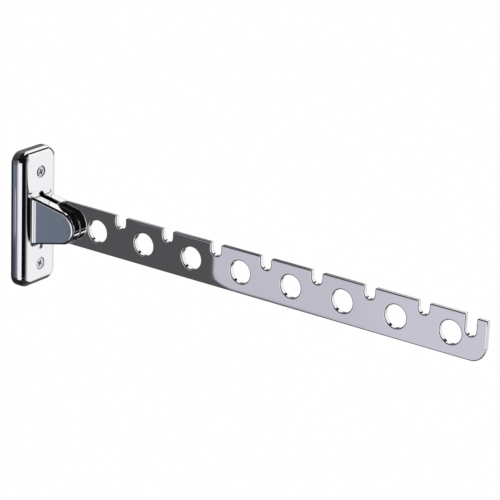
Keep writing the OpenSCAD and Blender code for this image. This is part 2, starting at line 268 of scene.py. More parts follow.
studio = {
    "evenLight": 0.9,
    "floorDrop": 420,         # how far the floor lies under the plate
    "floorSize": 12000,
    "floorColour": (0.93, 0.93, 0.93),
    "floorGlow": 0.985,       # the share of plain white in what the camera sees of it
    # what polished metal sees round the room, in rings from the ground up: an angle that is 0 at
    # the left and grows towards the wall, and a colour
    "rings": {
        "underfoot": [
            (-180, (0.10, 0.10, 0.10)),
            (-120, (0.04, 0.04, 0.04)),
            (0, (0.01, 0.01, 0.01)),
            (60, (0.018, 0.018, 0.02)),
            (150, (0.04, 0.04, 0.04)),
            (180, (0.10, 0.10, 0.10)),
        ],
        "table": [
            (-180, (0.9, 0.9, 0.9)),
            (-160, (0.72, 0.72, 0.74)),
            (-150, (0.72, 0.72, 0.74)),
            (-144, (0.93, 0.93, 0.94)),
            (-122, (0.93, 0.93, 0.94)),
            (-107, (0.60, 0.60, 0.61)),
            (-92, (0.30, 0.30, 0.31)),
            (-84, (0.10, 0.10, 0.105)),
            (-76, (0.004, 0.004, 0.005)),
            (-31, (0.003, 0.003, 0.004)),
            (-29, (0.97, 0.97, 0.98)),
            (22, (0.88, 0.88, 0.92)),
            (25, (0.56, 0.55, 0.62)),
            (28, (0.085, 0.085, 0.09)),
            (41, (0.085, 0.085, 0.09)),
            (45, (0.02, 0.02, 0.02)),
            (96, (0.03, 0.03, 0.03)),
            (112, (0.14, 0.14, 0.15)),
            (127, (0.40, 0.40, 0.42)),
            (142, (0.62, 0.62, 0.64)),
            (150, (0.66, 0.66, 0.68)),
            (156, (0.9, 0.9, 0.9)),
            (180, (0.9, 0.9, 0.9)),
        ],
        "lower wall": [
            (-180, (0.93, 0.93, 0.94)),
            (-122, (0.93, 0.93, 0.94)),
            (-107, (0.60, 0.60, 0.61)),
            (-92, (0.20, 0.20, 0.21)),
            (-84, (0.03, 0.03, 0.03)),
            (-60, (0.006, 0.006, 0.007)),
            (18, (0.006, 0.006, 0.007)),
            (24, (0.30, 0.30, 0.31)),
            (34, (0.30, 0.30, 0.31)),
            (37.5, (0.14, 0.14, 0.15)),
            (46, (0.12, 0.12, 0.125)),
            (60, (0.05, 0.05, 0.055)),
            (80, (0.006, 0.006, 0.007)),
            (150, (0.006, 0.006, 0.007)),
            (154, (0.93, 0.93, 0.94)),
            (180, (0.93, 0.93, 0.94)),
        ],
        "upper wall": [
            (-180, (0.93, 0.93, 0.94)),
            (-118, (0.93, 0.93, 0.94)),
            (-110, (0.40, 0.40, 0.41)),
            (-96, (0.25, 0.25, 0.26)),
            (-87, (0.12, 0.12, 0.13)),
            (-80, (0.006, 0.006, 0.007)),
            (18, (0.006, 0.006, 0.007)),
            (24, (0.40, 0.40, 0.42)),
            (34, (0.40, 0.40, 0.42)),
            (37.5, (0.07, 0.07, 0.075)),
            (60, (0.04, 0.04, 0.04)),
            (132, (0.03, 0.03, 0.03)),
            (137, (0.13, 0.13, 0.14)),
            (140.6, (0.14, 0.14, 0.15)),
            (142, (0.42, 0.42, 0.44)),
            (143, (0.36, 0.36, 0.38)),
            (144.4, (0.12, 0.12, 0.125)),
            (147, (0.10, 0.10, 0.105)),
            (149, (0.50, 0.50, 0.52)),
            (152, (0.85, 0.85, 0.86)),
            (154, (0.93, 0.93, 0.94)),
            (180, (0.93, 0.93, 0.94)),
        ],
        "crown": [
            (-180, (1.0, 1.0, 1.0)),
            (-125, (0.95, 0.95, 0.95)),
            (-112, (0.45, 0.45, 0.46)),
            (-104, (0.30, 0.30, 0.31)),
            (-95, (0.20, 0.20, 0.21)),
            (-85, (0.03, 0.03, 0.03)),
            (-75, (0.005, 0.005, 0.006)),
            (44, (0.005, 0.005, 0.006)),
            (50, (0.05, 0.05, 0.05)),
            (75, (0.055, 0.055, 0.055)),
            (99, (0.08, 0.08, 0.08)),
            (120, (0.13, 0.13, 0.13)),
            (133, (0.18, 0.18, 0.18)),
            (141, (0.20, 0.20, 0.20)),
            (146, (1.0, 1.0, 1.0)),
            (180, (1.0, 1.0, 1.0)),
        ],
        "ceiling": [
            (-180, (1.0, 1.0, 1.0)),
            (-172, (1.0, 1.0, 1.0)),
            (-165, (0.05, 0.05, 0.05)),
            (-60, (0.01, 0.01, 0.01)),
            (142, (0.006, 0.006, 0.007)),
            (146, (1.0, 1.0, 1.0)),
            (180, (1.0, 1.0, 1.0)),
        ],
    },
    # the heights of a direction, from -1 to 1, between which one ring turns into the next
    "ringEdges": ((-0.64, -0.58), (-0.03, 0.05), (0.12, 0.2), (0.38, 0.46), (0.775, 0.8)),
    # cards with crisp edges in front of the rings: the angles and heights that they fill, what
    # their height loses for each degree, the radius of their corners and the blur of their edges
    "cards": (
        {  # for the far half of the arm
            "angles": (22, 35.66), "heights": (-0.353, -0.05), "lean": 0.0036,
            "corner": 0.55, "soft": 0.03, "colour": (0.55, 0.54, 0.61),
        },
        {  # for the plate's and the ear's sides
            "angles": (39.5, 42.6), "heights": (-0.45, -0.1), "lean": 0,
            "corner": 0.3, "soft": 0.02, "colour": (0.147, 0.173, 0.225),
        },
        {  # for the low end of the plate's side
            "angles": (40.78, 42.6), "heights": (-0.45, -0.335), "lean": 0,
            "corner": 0.6, "soft": 0.4, "colour": (0.06, 0.065, 0.09),
        },
        {  # for the pale streak in the plate's side
            "angles": (40.62, 41.0), "heights": (-0.333, -0.314), "lean": 0,
            "corner": 0.1, "soft": 0.06, "colour": (0.48, 0.46, 0.54),
        },
        {  # for the arm's tip
            "angles": (18, 31.2), "heights": (-0.45, -0.3), "lean": 0,
            "corner": 1, "soft": 1, "colour": (0.60, 0.59, 0.665),
        },
        {  # for the tip's end face
            "angles": (-80, -27), "heights": (-0.376, -0.3605), "lean": 0,
            "corner": 0.1, "soft": 0.06, "colour": (0.75, 0.75, 0.78),
        },
        {  # for the top of the white stripe along the plate's edge
            "angles": (-29.5, 21), "heights": (-0.1, 0.2), "lean": 0,
            "corner": 3, "soft": 1, "colour": (0.8, 0.8, 0.82),
        },
        {  # for the dark line round the plate's front, in two parts because the angles wrap round
            "angles": (-182, -163), "heights": (-0.2, 0.93), "lean": 0,
            "corner": 1, "soft": 1, "colour": (0.01, 0.01, 0.01),
        },
        {
            "angles": (175, 182), "heights": (-0.2, 0.93), "lean": 0,
            "corner": 1, "soft": 1, "colour": (0.01, 0.01, 0.01),
        },
        {  # for the plate's upper corner
            "angles": (-150, -90), "heights": (0.7, 1.2), "lean": 0,
            "corner": 8, "soft": 2, "colour": (0.02, 0.02, 0.02),
        },
    ),
    "heightPerDegree": 0.012,  # makes a card's corners as round upwards as across
}


def addCard(tree, degrees, parts, card, row):
    # a mask that is 1 inside a rectangle with round corners and 0 outside it
    left, right = card["angles"]
    foot, top = (height / studio["heightPerDegree"] for height in card["heights"])
    corner = card["corner"]
    lean = addNode(tree, "ShaderNodeMath", (5, row), operation="MULTIPLY_ADD")
    lean.inputs[1].default_value = -card["lean"]
    lean.inputs[2].default_value = card["lean"] * right
    level = addNode(tree, "ShaderNodeMath", (6, row), operation="ADD")
    scaled = addNode(tree, "ShaderNodeMath", (7, row), operation="DIVIDE")
    scaled.inputs[1].default_value = studio["heightPerDegree"]
    spot = addNode(tree, "ShaderNodeCombineXYZ", (8, row))
    join(tree, degrees, 0, lean, 0)
    join(tree, lean, 0, level, 0)
    join(tree, parts, "Z", level, 1)
    join(tree, level, 0, scaled, 0)
    join(tree, degrees, 0, spot, "X")
    join(tree, scaled, 0, spot, "Y")
    step = spot
    for operation, value in (
        ("SUBTRACT", ((left + right) / 2, (foot + top) / 2, 0)),
        ("ABSOLUTE", None),
        ("SUBTRACT", ((right - left) / 2 - corner, (top - foot) / 2 - corner, 0)),
        ("MAXIMUM", (0, 0, 0)),
        ("LENGTH", None),
    ):
        following = addNode(tree, "ShaderNodeVectorMath", (9, row), operation=operation)
        if value is not None:
            following.inputs[1].default_value = value
        join(tree, step, "Vector", following, 0)
        step = following
    mask = addNode(tree, "ShaderNodeMapRange", (11, row), interpolation_type="SMOOTHSTEP")
    mask.inputs["From Min"].default_value = corner + card["soft"]
    mask.inputs["From Max"].default_value = corner - card["soft"]
    join(tree, step, "Value", mask, "Value")
    return mask


def makeWorld():
    world = bpy.data.worlds.new("studio")
    world.use_nodes = True
    bpy.context.scene.world = world
    tree = world.node_tree
    tree.nodes.clear()
    direction = addNode(tree, "ShaderNodeTexCoord", (0, 2))
    parts = addNode(tree, "ShaderNodeSeparateXYZ", (1, 2))
    leftward = addNode(tree, "ShaderNodeMath", (2, 2), operation="MULTIPLY")
    leftward.inputs[1].default_value = -1
    turn = addNode(tree, "ShaderNodeMath", (3, 2), operation="ARCTAN2")
    share = addNode(tree, "ShaderNodeMapRange", (4, 2))
    share.inputs["From Min"].default_value = -math.pi
    share.inputs["From Max"].default_value = math.pi
    join(tree, direction, "Generated", parts, 0)
    join(tree, parts, "X", leftward, 0)
    join(tree, parts, "Y", turn, 0)
    join(tree, leftward, 0, turn, 1)
    join(tree, turn, 0, share, "Value")
    room = None
    for row, stops in enumerate(studio["rings"].values()):
        ring = addNode(tree, "ShaderNodeValToRGB", (5, 2 * row))
        fillRamp(ring, [((angle + 180) / 360, colour) for angle, colour in stops])
        join(tree, share, 0, ring, 0)
        if room is None:
            room = (ring, 0)
            continue
        low, high = studio["ringEdges"][row - 1]
        height = addNode(tree, "ShaderNodeMapRange", (6, 2 * row), interpolation_type="SMOOTHSTEP")
        height.inputs["From Min"].default_value = low
        height.inputs["From Max"].default_value = high
        join(tree, parts, "Z", height, "Value")
        mixed = addNode(tree, "ShaderNodeMix", (7, 2 * row), data_type="RGBA")
        join(tree, height, 0, mixed, "Factor")
        join(tree, *room, mixed, "A")
        join(tree, ring, 0, mixed, "B")
        room = (mixed, "Result")
    degrees = addNode(tree, "ShaderNodeMath", (4, 4), operation="DEGREES")
    join(tree, turn, 0, degrees, 0)
    for row, card in enumerate(studio["cards"]):
        mask = addCard(tree, degrees, parts, card, 10 + 3 * row)
        shown = addNode(tree, "ShaderNodeMix", (12, 10 + 3 * row), data_type="RGBA")
        shown.inputs["B"].default_value = (*card["colour"], 1)
        join(tree, mask, 0, shown, "Factor")
        join(tree, *room, shown, "A")
        room = (shown, "Result")
    seen = addNode(tree, "ShaderNodeBackground", (8, 2))
    join(tree, *room, seen, "Color")
    even = addNode(tree, "ShaderNodeBackground", (8, 4))
    even.inputs["Strength"].default_value = studio["evenLight"]
    white = addNode(tree, "ShaderNodeBackground", (8, 5))
    white.inputs["Color"].default_value = (1, 1, 1, 1)
    rays = addNode(tree, "ShaderNodeLightPath", (7, -1))
    glossy = addNode(tree, "ShaderNodeMixShader", (9, 3))
    join(tree, rays, "Is Glossy Ray", glossy, 0)
    join(tree, even, 0, glossy, 1)
    join(tree, seen, 0, glossy, 2)
    final = addNode(tree, "ShaderNodeMixShader", (10, 3))
    join(tree, rays, "Is Camera Ray", final, 0)
    join(tree, glossy, 0, final, 1)
    join(tree, white, 0, final, 2)
    output = addNode(tree, "ShaderNodeOutputWorld", (11, 3))
    join(tree, final, 0, output, "Surface")


def makeFloor():
    bm = bmesh.new()
    bmesh.ops.create_grid(bm, x_segments=1, y_segments=1, size=studio["floorSize"] / 2 * mm)
    bmesh.ops.translate(bm, verts=bm.verts, vec=(0, 0, cadBox[0][2] - studio["floorDrop"] * mm))
    floor = toObject(bm, "floor")
    floor.visible_glossy = False  # polished metal sees the studio's rings in its place
    material = bpy.data.materials.new("floor paper")
    material.use_nodes = True
    tree = material.node_tree
    tree.nodes.clear()
    paper = addNode(tree, "ShaderNodeBsdfDiffuse", (0, 0))
    paper.inputs["Color"].default_value = (*studio["floorColour"], 1)
    glow = addNode(tree, "ShaderNodeEmission", (0, 1))
    rays = addNode(tree, "ShaderNodeLightPath", (0, -2))
    share = addNode(tree, "ShaderNodeMath", (1, -1), operation="MULTIPLY")
    share.inputs[1].default_value = studio["floorGlow"]
    mixed = addNode(tree, "ShaderNodeMixShader", (2, 0))
    output = addNode(tree, "ShaderNodeOutputMaterial", (3, 0))
    join(tree, rays, "Is Camera Ray", share, 0)
    join(tree, share, 0, mixed, 0)
    join(tree, paper, 0, mixed, 1)
    join(tree, glow, 0, mixed, 2)
    join(tree, mixed, 0, output, "Surface")
    floor.data.materials.append(material)


bpy.context.scene.view_settings.view_transform = "Standard"
makeWorld()
makeFloor()
print("studio lit")


polish = {
    "stretch": (1, 0.06, 1),  # the lines run along the arm
    "lineDetail": 4,
    "smearDetail": 3,
    "smearDistortion": 0.6,
    "lineShare": 0.4,         # what the lines add to the smears in the roughness
    "noiseRange": (0.35, 0.75),
}


def makeGrain():
    # fine polishing lines, faint smears and a slow change of tone, for every metal here
    group = bpy.data.node_groups.new("polished grain", "ShaderNodeTree")
    face = group.interface
    for name, kind, value in (
        ("Vector", "NodeSocketVector", None),
        ("Line Scale", "NodeSocketFloat", 900),
        ("Smear Scale", "NodeSocketFloat", 60),
        ("Roughness Low", "NodeSocketFloat", 0.03),
        ("Roughness High", "NodeSocketFloat", 0.08),
    ):
        socket = face.new_socket(name, in_out="INPUT", socket_type=kind)
        if value is not None:
            socket.default_value = value
    face.new_socket("Roughness", in_out="OUTPUT", socket_type="NodeSocketFloat")
    face.new_socket("Height", in_out="OUTPUT", socket_type="NodeSocketFloat")
    face.new_socket("Tone", in_out="OUTPUT", socket_type="NodeSocketFloat")
    given = addNode(group, "NodeGroupInput", (0, 0))
    result = addNode(group, "NodeGroupOutput", (6, 0))
    stretch = addNode(group, "ShaderNodeMapping", (1, 0))
    stretch.inputs["Scale"].default_value = polish["stretch"]
    lines = addNode(group, "ShaderNodeTexNoise", (2, 0))
    lines.inputs["Detail"].default_value = polish["lineDetail"]
    smears = addNode(group, "ShaderNodeTexNoise", (2, 2))
    smears.inputs["Detail"].default_value = polish["smearDetail"]
    smears.inputs["Distortion"].default_value = polish["smearDistortion"]
    rough = addNode(group, "ShaderNodeMapRange", (4, 1))
    rough.inputs["From Min"].default_value = polish["noiseRange"][0]
    rough.inputs["From Max"].default_value = polish["noiseRange"][1]
    both = addNode(group, "ShaderNodeMath", (3, 1), operation="MULTIPLY_ADD")
    both.inputs[1].default_value = polish["lineShare"]
    join(group, given, "Vector", stretch, "Vector")
    join(group, stretch, 0, lines, "Vector")
    join(group, given, "Line Scale", lines, "Scale")
    join(group, given, "Vector", smears, "Vector")
    join(group, given, "Smear Scale", smears, "Scale")
    join(group, lines, 0, both, 0)
    join(group, smears, 0, both, 2)
    join(group, both, 0, rough, "Value")
    join(group, given, "Roughness Low", rough, "To Min")
    join(group, given, "Roughness High", rough, "To Max")
    join(group, rough, 0, result, "Roughness")
    join(group, lines, 0, result, "Height")
    join(group, smears, 0, result, "Tone")
    return group


grain = makeGrain()


def makeMetal(name, settings):
    material = bpy.data.materials.new(name)
    material.use_nodes = True
    tree = material.node_tree
    tree.nodes.clear()
    place = addNode(tree, "ShaderNodeTexCoord", (0, 0))
    worn = addNode(tree, "ShaderNodeGroup", (1, 0), node_tree=grain)
    worn.inputs["Line Scale"].default_value = settings["lineScale"]
    worn.inputs["Smear Scale"].default_value = settings["smearScale"]
    worn.inputs["Roughness Low"].default_value = settings["roughness"][0]
    worn.inputs["Roughness High"].default_value = settings["roughness"][1]
    tone = addNode(tree, "ShaderNodeMix", (2, 0), data_type="RGBA")
    tone.inputs["A"].default_value = (*settings["colours"][0], 1)
    tone.inputs["B"].default_value = (*settings["colours"][1], 1)
    bump = addNode(tree, "ShaderNodeBump", (2, 2))
    bump.inputs["Strength"].default_value = settings["bump"]
    bump.inputs["Distance"].default_value = settings["bumpDepth"] * mm
    metal = addNode(tree, "ShaderNodeBsdfPrincipled", (3, 0))
    metal.inputs["Metallic"].default_value = 1
    output = addNode(tree, "ShaderNodeOutputMaterial", (5, 0))
    join(tree, place, "Object", worn, "Vector")
    join(tree, worn, "Tone", tone, "Factor")
    join(tree, worn, "Height", bump, "Height")
    join(tree, tone, "Result", metal, "Base Color")
    join(tree, worn, "Roughness", metal, "Roughness")
    join(tree, bump, 0, metal, "Normal")
    join(tree, metal, 0, output, "Surface")
    return material


castChrome = makeMetal("cast chrome", {
    "colours": ((0.90, 0.90, 0.92), (0.95, 0.95, 0.96)),
    "roughness": (0.008, 0.03),
    "lineScale": 700,
    "smearScale": 90,
    "bump": 0.015,
    "bumpDepth": 0.02,
})
stripChrome = makeMetal("strip chrome", {
    "colours": ((0.90, 0.90, 0.92), (0.95, 0.95, 0.96)),
    "roughness": (0.004, 0.014),
    "lineScale": 900,
    "smearScale": 40,
    "bump": 0.004,
    "bumpDepth": 0.02,
})
pinSteel = makeMetal("pin steel", {
    "colours": ((0.60, 0.60, 0.61), (0.70, 0.70, 0.71)),
    "roughness": (0.14, 0.28),
    "lineScale": 600,
    "smearScale": 120,
    "bump": 0.15,
    "bumpDepth": 0.03,
})
screwSteel = makeMetal("screw steel", {
    "colours": ((0.62, 0.62, 0.64), (0.75, 0.75, 0.76)),
    "roughness": (0.12, 0.24),
    "lineScale": 500,
    "smearScale": 150,
    "bump": 0.15,
    "bumpDepth": 0.03,
})
print("finishes mixed")


armLow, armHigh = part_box("folding_arm")
arm = {
    "thickness": (armHigh.x - armLow.x) / mm,
    "top": armHigh.z / mm,
    "bottom": armLow.z / mm,
    "tip": -armLow.y / mm,
    "heelOut": -armHigh.y / mm,
    "holeRadius": holeMounts[0]["dims"]["r_mm"],
    "holeOuts": [-mount["pos_m"][1] / mm for mount in holeMounts],
    "holeUp": holeMounts[0]["pos_m"][2] / mm,
    "pinHoleRadius": 3.05,
    "notchWidth": 6.4,
    "notchDepth": 6.8,
    "tipNotchDepth": 11.2,
    "tipNotchPastHole": 11.2,
    "mouthRadius": 0.8,
    "tipRadius": 8.5,
    "tipCornerRadius": 0.8,
    "tipDrop": 1,
    "rootRadius": 13,
    "heelHeight": 7,
    "edgeRadius": 0.68,
    "edgeSegments": 6,
    "roundSteps": 96,
    "notchSteps": 28,
    "bendSteps": 24,    # of the root and of the tip's lower corner
    "cornerSteps": 6,
}


def cutNotch(bm, pen, out, topRight, topLeft, bottom):
    # from the right of a notch to its left, along the arm's top edge
    half = arm["notchWidth"] / 2
    lip = arm["mouthRadius"]
    steps = arm["cornerSteps"]
    pen = lineTo(bm, pen, out + half + lip, topRight)
    pen = arcTo(bm, pen, out + half + lip, topRight - lip, 90, steps)
    pen = lineTo(bm, pen, out + half, bottom + half)
    pen = arcTo(bm, pen, out, bottom + half, -180, arm["notchSteps"])
    pen = lineTo(bm, pen, out - half, topLeft - lip)
    return arcTo(bm, pen, out - half - lip, topLeft - lip, 90, steps)


def drawArmOutline(bm):
    # in the side view, anticlockwise from the foot of the heel
    top = arm["top"]
    bottom = arm["bottom"]
    tip = arm["tip"]
    tipR = arm["tipRadius"]
    cornerR = arm["tipCornerRadius"]
    tipTop = top - arm["tipDrop"]
    outs = arm["holeOuts"]
    start = bm.verts.new((arm["heelOut"], bottom, -arm["thickness"] / 2))
    pen = lineTo(bm, start, tip - tipR, bottom)
    pen = arcTo(bm, pen, tip - tipR, bottom + tipR, 90, arm["bendSteps"])
    pen = lineTo(bm, pen, tip, tipTop - cornerR)
    pen = arcTo(bm, pen, tip - cornerR, tipTop - cornerR, 90, arm["cornerSteps"])
    tipNotch = outs[-1] + arm["tipNotchPastHole"]
    pen = cutNotch(bm, pen, tipNotch, tipTop, top, top - arm["tipNotchDepth"])
    for left, right in reversed(list(zip(outs, outs[1:]))):
        pen = cutNotch(bm, pen, (left + right) / 2, top, top, top - arm["notchDepth"])
    rootR = arm["rootRadius"]
    rise = math.degrees(math.asin(min(1, (top - pivot.y) / rootR)))
    pen = lineTo(bm, pen, pivot.x + rootR * math.cos(math.radians(rise)), top)
    heelTop = Vector((arm["heelOut"], bottom + arm["heelHeight"]))
    toPivot = pivot - heelTop
    lean = math.degrees(math.atan2(toPivot.y, toPivot.x) + math.asin(rootR / toPivot.length))
    pen = arcTo(bm, pen, *pivot, 90 + lean - rise, arm["bendSteps"])
    pen = lineTo(bm, pen, *heelTop)
    bm.edges.new((pen, start))


def makeArm():
    half = arm["thickness"] / 2
    bm = bmesh.new()
    drawArmOutline(bm)
    for out in arm["holeOuts"]:
        addCircle(bm, out, arm["holeUp"], -half, arm["holeRadius"], arm["roundSteps"])
    addCircle(bm, *pivot, -half, arm["pinHoleRadius"], arm["roundSteps"])
    fillLevel(bm, -half)
    grown = bmesh.ops.extrude_face_region(bm, geom=bm.faces[:])["geom"]
    bmesh.ops.translate(bm, verts=onlyVerts(grown), vec=(0, 0, arm["thickness"]))
    bmesh.ops.recalc_face_normals(bm, faces=bm.faces[:])
    soften(bm, steepEdges(bm, -half, half), arm["edgeRadius"], arm["edgeSegments"])
    piece = toObject(bm, "folding_arm_strip", sideView)
    cleanNormals(piece)
    dress(piece, "arm", "chromed_strip", stripChrome, "folding_arm")


makeArm()
print("arm stamped and polished")


plateLow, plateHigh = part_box("wall_plate")
plate = {
    "halfWidth": plateHigh.x / mm,
    "halfHeight": plateHigh.z / mm,
    "depth": 9.7,
    "cornerRadius": 6.8,
    "cornerSteps": 20,
    "edgeRadius": 4.8,
    "edgeSegments": 16,
    "backInset": 1.1,       # the back edge is rounded off flatly
    "backRise": 2.2,
    "backRings": 8,
    "slotHalf": 1.83,
    "slotTop": 15.7,
    "slotBottom": -18.4,
    "slotFloor": 8.7,
    "slotSteps": 20,
    "slotLip": 0.35,
    "lipSegments": 3,
    "screwUp": 27,
    "screwSinks": (0.1, 0.4),      # how deep the upper and the lower head sit
    "screwMouth": 3.5,
    "screwHole": 2.1,
    "screwRim": 0.42,              # from a head's face down to its seat's cone
    "mouthSoftening": 0.15,
    "mouthSegments": 2,
    "hollowDepth": 6.7,
    "hollowSoftening": 0.4,
    "hollowSegments": 3,
    "hollowCornerSteps": 10,
    "sideWall": 2.4,
    "ribHalf": 1,
    "crossRibUp": 13.5,
    "bossRadius": 4.5,
    "bossSteps": 24,
    "roundSteps": 64,
}


def drawPocket(bm, across, up):
    # one of the two corner pockets beside a screw boss; across and up are 1 or -1
    rib = plate["ribHalf"]
    side = plate["halfWidth"] - plate["sideWall"]
    top = plate["halfHeight"] - plate["sideWall"]
    corner = plate["cornerRadius"] - plate["sideWall"]
    boss = plate["bossRadius"]
    bossUp = plate["screwUp"]
    reach = math.sqrt(boss ** 2 - rib ** 2)
    sweep = 2 * math.degrees(math.asin(reach / boss))
    turn = across * up
    start = bm.verts.new((across * rib, up * (plate["crossRibUp"] + rib), 0))
    pen = lineTo(bm, start, across * side, start.co.y)
    pen = lineTo(bm, pen, across * side, up * (top - corner))
    steps = plate["hollowCornerSteps"]
    pen = arcTo(bm, pen, across * (side - corner), up * (top - corner), turn * 90, steps)
    pen = lineTo(bm, pen, across * rib, up * top)
    pen = lineTo(bm, pen, across * rib, up * (bossUp + reach))
    pen = arcTo(bm, pen, 0, up * bossUp, -turn * sweep, plate["bossSteps"])
    bm.edges.new((pen, start))


def drawMiddlePocket(bm, across):
    rib = plate["ribHalf"]
    side = plate["halfWidth"] - plate["sideWall"]
    top = plate["crossRibUp"] - rib
    start = bm.verts.new((across * rib, -top, 0))
    pen = lineTo(bm, start, across * side, -top)
    pen = lineTo(bm, pen, across * side, top)
    pen = lineTo(bm, pen, across * rib, top)
    bm.edges.new((pen, start))


def drawPlateOutline(bm, inset, z):
    halfW = plate["halfWidth"] - inset
    halfH = plate["halfHeight"] - inset
    corner = plate["cornerRadius"] - inset
    start = bm.verts.new((halfW, corner - halfH, z))
    pen = start
    for x, y, endX, endY in (
        (halfW - corner, halfH - corner, halfW, halfH - corner),
        (corner - halfW, halfH - corner, corner - halfW, halfH),
        (corner - halfW, corner - halfH, -halfW, corner - halfH),
        (halfW - corner, corner - halfH, halfW - corner, -halfH),
    ):
        pen = lineTo(bm, pen, endX, endY)
        pen = arcTo(bm, pen, x, y, 90, plate["cornerSteps"])
    bmesh.ops.remove_doubles(bm, verts=[pen, start], dist=near)
    return [edge for edge in bm.edges if edge.is_wire and atLevel(edge, z)]


def drawPlate(bm):
    depth = plate["depth"]
    rings = plate["backRings"]
    lower = None
    for ring in range(rings + 1):
        angle = math.pi / 2 * ring / rings
        inset = plate["backInset"] * (1 - math.sin(angle))
        upper = drawPlateOutline(bm, inset, plate["backRise"] * (1 - math.cos(angle)))
        if lower is not None:
            bmesh.ops.bridge_loops(bm, edges=lower + upper)
        lower = upper
    wallTo(bm, lower, depth)
    fillLevel(bm, depth)
    bmesh.ops.recalc_face_normals(bm, faces=bm.faces[:])
    frontEdge = [edge for edge in bm.edges if atLevel(edge, depth)]
    soften(bm, frontEdge, plate["edgeRadius"], plate["edgeSegments"])
    caps = [face for face in bm.faces if all(atLevel(edge, depth) for edge in face.edges)]
    bmesh.ops.delete(bm, geom=caps, context="FACES_ONLY")


def cutFront(bm):
    depth = plate["depth"]
    half = plate["slotHalf"]
    steps = plate["slotSteps"]
    start = bm.verts.new((half, plate["slotBottom"] + half, depth))
    pen = lineTo(bm, start, half, plate["slotTop"] - half)
    pen = arcTo(bm, pen, 0, plate["slotTop"] - half, 180, steps)
    pen = lineTo(bm, pen, -half, plate["slotBottom"] + half)
    pen = arcTo(bm, pen, 0, plate["slotBottom"] + half, 180, steps)
    bmesh.ops.remove_doubles(bm, verts=[pen, start], dist=near)
    slot = [edge for edge in bm.edges if edge.is_wire]
    wallTo(bm, slot, plate["slotFloor"])
    for up, sink in zip((plate["screwUp"], -plate["screwUp"]), plate["screwSinks"]):
        ring = addCircle(bm, 0, up, depth, plate["screwMouth"], plate["roundSteps"])
        coneTop = depth - sink - plate["screwRim"]
        spread = plate["screwHole"] / plate["screwMouth"]
        ring = wallTo(bm, ring, coneTop)
        ring = wallTo(bm, ring, coneTop - plate["screwMouth"] + plate["screwHole"], spread, (0, up))
        wallTo(bm, ring, 0)
    fillLevel(bm, depth)
    fillLevel(bm, plate["slotFloor"])
    bmesh.ops.recalc_face_normals(bm, faces=bm.faces[:])
    reach = plate["screwUp"] - 2 * plate["screwMouth"]  # the slot ends short of the screws
    slotLips = [
        edge for edge in steepEdges(bm, depth)
        if all(abs(vert.co.y) < reach for vert in edge.verts)
    ]
    soften(bm, slotLips, plate["slotLip"], plate["lipSegments"])
    soften(bm, steepEdges(bm, depth), plate["mouthSoftening"], plate["mouthSegments"])


def hollowBack(bm):
    for across in (1, -1):
        drawMiddlePocket(bm, across)
        for up in (1, -1):
            drawPocket(bm, across, up)
    wallTo(bm, [edge for edge in bm.edges if edge.is_wire], plate["hollowDepth"])
    fillLevel(bm, plate["hollowDepth"])
    fillLevel(bm, 0)
    bmesh.ops.recalc_face_normals(bm, faces=bm.faces[:])
    feet = steepEdges(bm, plate["hollowDepth"])
    soften(bm, feet, plate["hollowSoftening"], plate["hollowSegments"])


# the two ears that hold the pin are drawn in the side view, where out is away from the wall
ear = {
    "inner": 1.8,
    "thickness": 6.2,
    "noseRadius": 9.5,
    "noseSteps": 72,
    "topSlope": 10,
    "underSlope": 13,
    "rootOut": 11.5,
    "outerRim": 1.5,
    "outerRimSegments": 10,
    "innerRim": 0.5,
    "innerRimSegments": 4,
    "seatRadius": 3.05,     # of the open bore that the pin was entered by
    "seatDepth": 0.9,
    # the curves by which an ear flows into the plate: (spread, out)
    "sideFillet": ((0, 11.5), (0, 10.35), (0.6, 9.72), (1.7, 9.69)),
    "edgeFillet": ((0, 11.5), (0, 10.3), (0.9, 9.72), (3, 9.69)),
    "filletRings": 16,
    "rootEnd": 8.5,         # inside the plate's wall
}


def curvePoint(points, share):
    # a cubic curve through its first and last point
    rest = 1 - share
    weights = (rest ** 3, 3 * rest ** 2 * share, 3 * rest * share ** 2, share ** 3)
    return [
        sum(weight * point[axis] for weight, point in zip(weights, points))
        for axis in (0, 1)
    ]


def drawEar(bm):
    radius = ear["noseRadius"]
    top = math.radians(90 - ear["topSlope"])
    under = math.radians(ear["underSlope"] - 90)
    topAt = pivot + radius * Vector((math.cos(top), math.sin(top)))
    underAt = pivot + radius * Vector((math.cos(under), math.sin(under)))
    rootTop = topAt.y + (topAt.x - ear["rootOut"]) * math.tan(math.radians(ear["topSlope"]))
    rootUnder = underAt.y - (underAt.x - ear["rootOut"]) * math.tan(math.radians(ear["underSlope"]))
    start = bm.verts.new((ear["rootOut"], rootUnder, ear["inner"]))
    pen = lineTo(bm, start, *underAt)
    pen = arcTo(bm, pen, *pivot, math.degrees(top - under), ear["noseSteps"])
    pen = lineTo(bm, pen, ear["rootOut"], rootTop)
    bm.edges.new((pen, start))


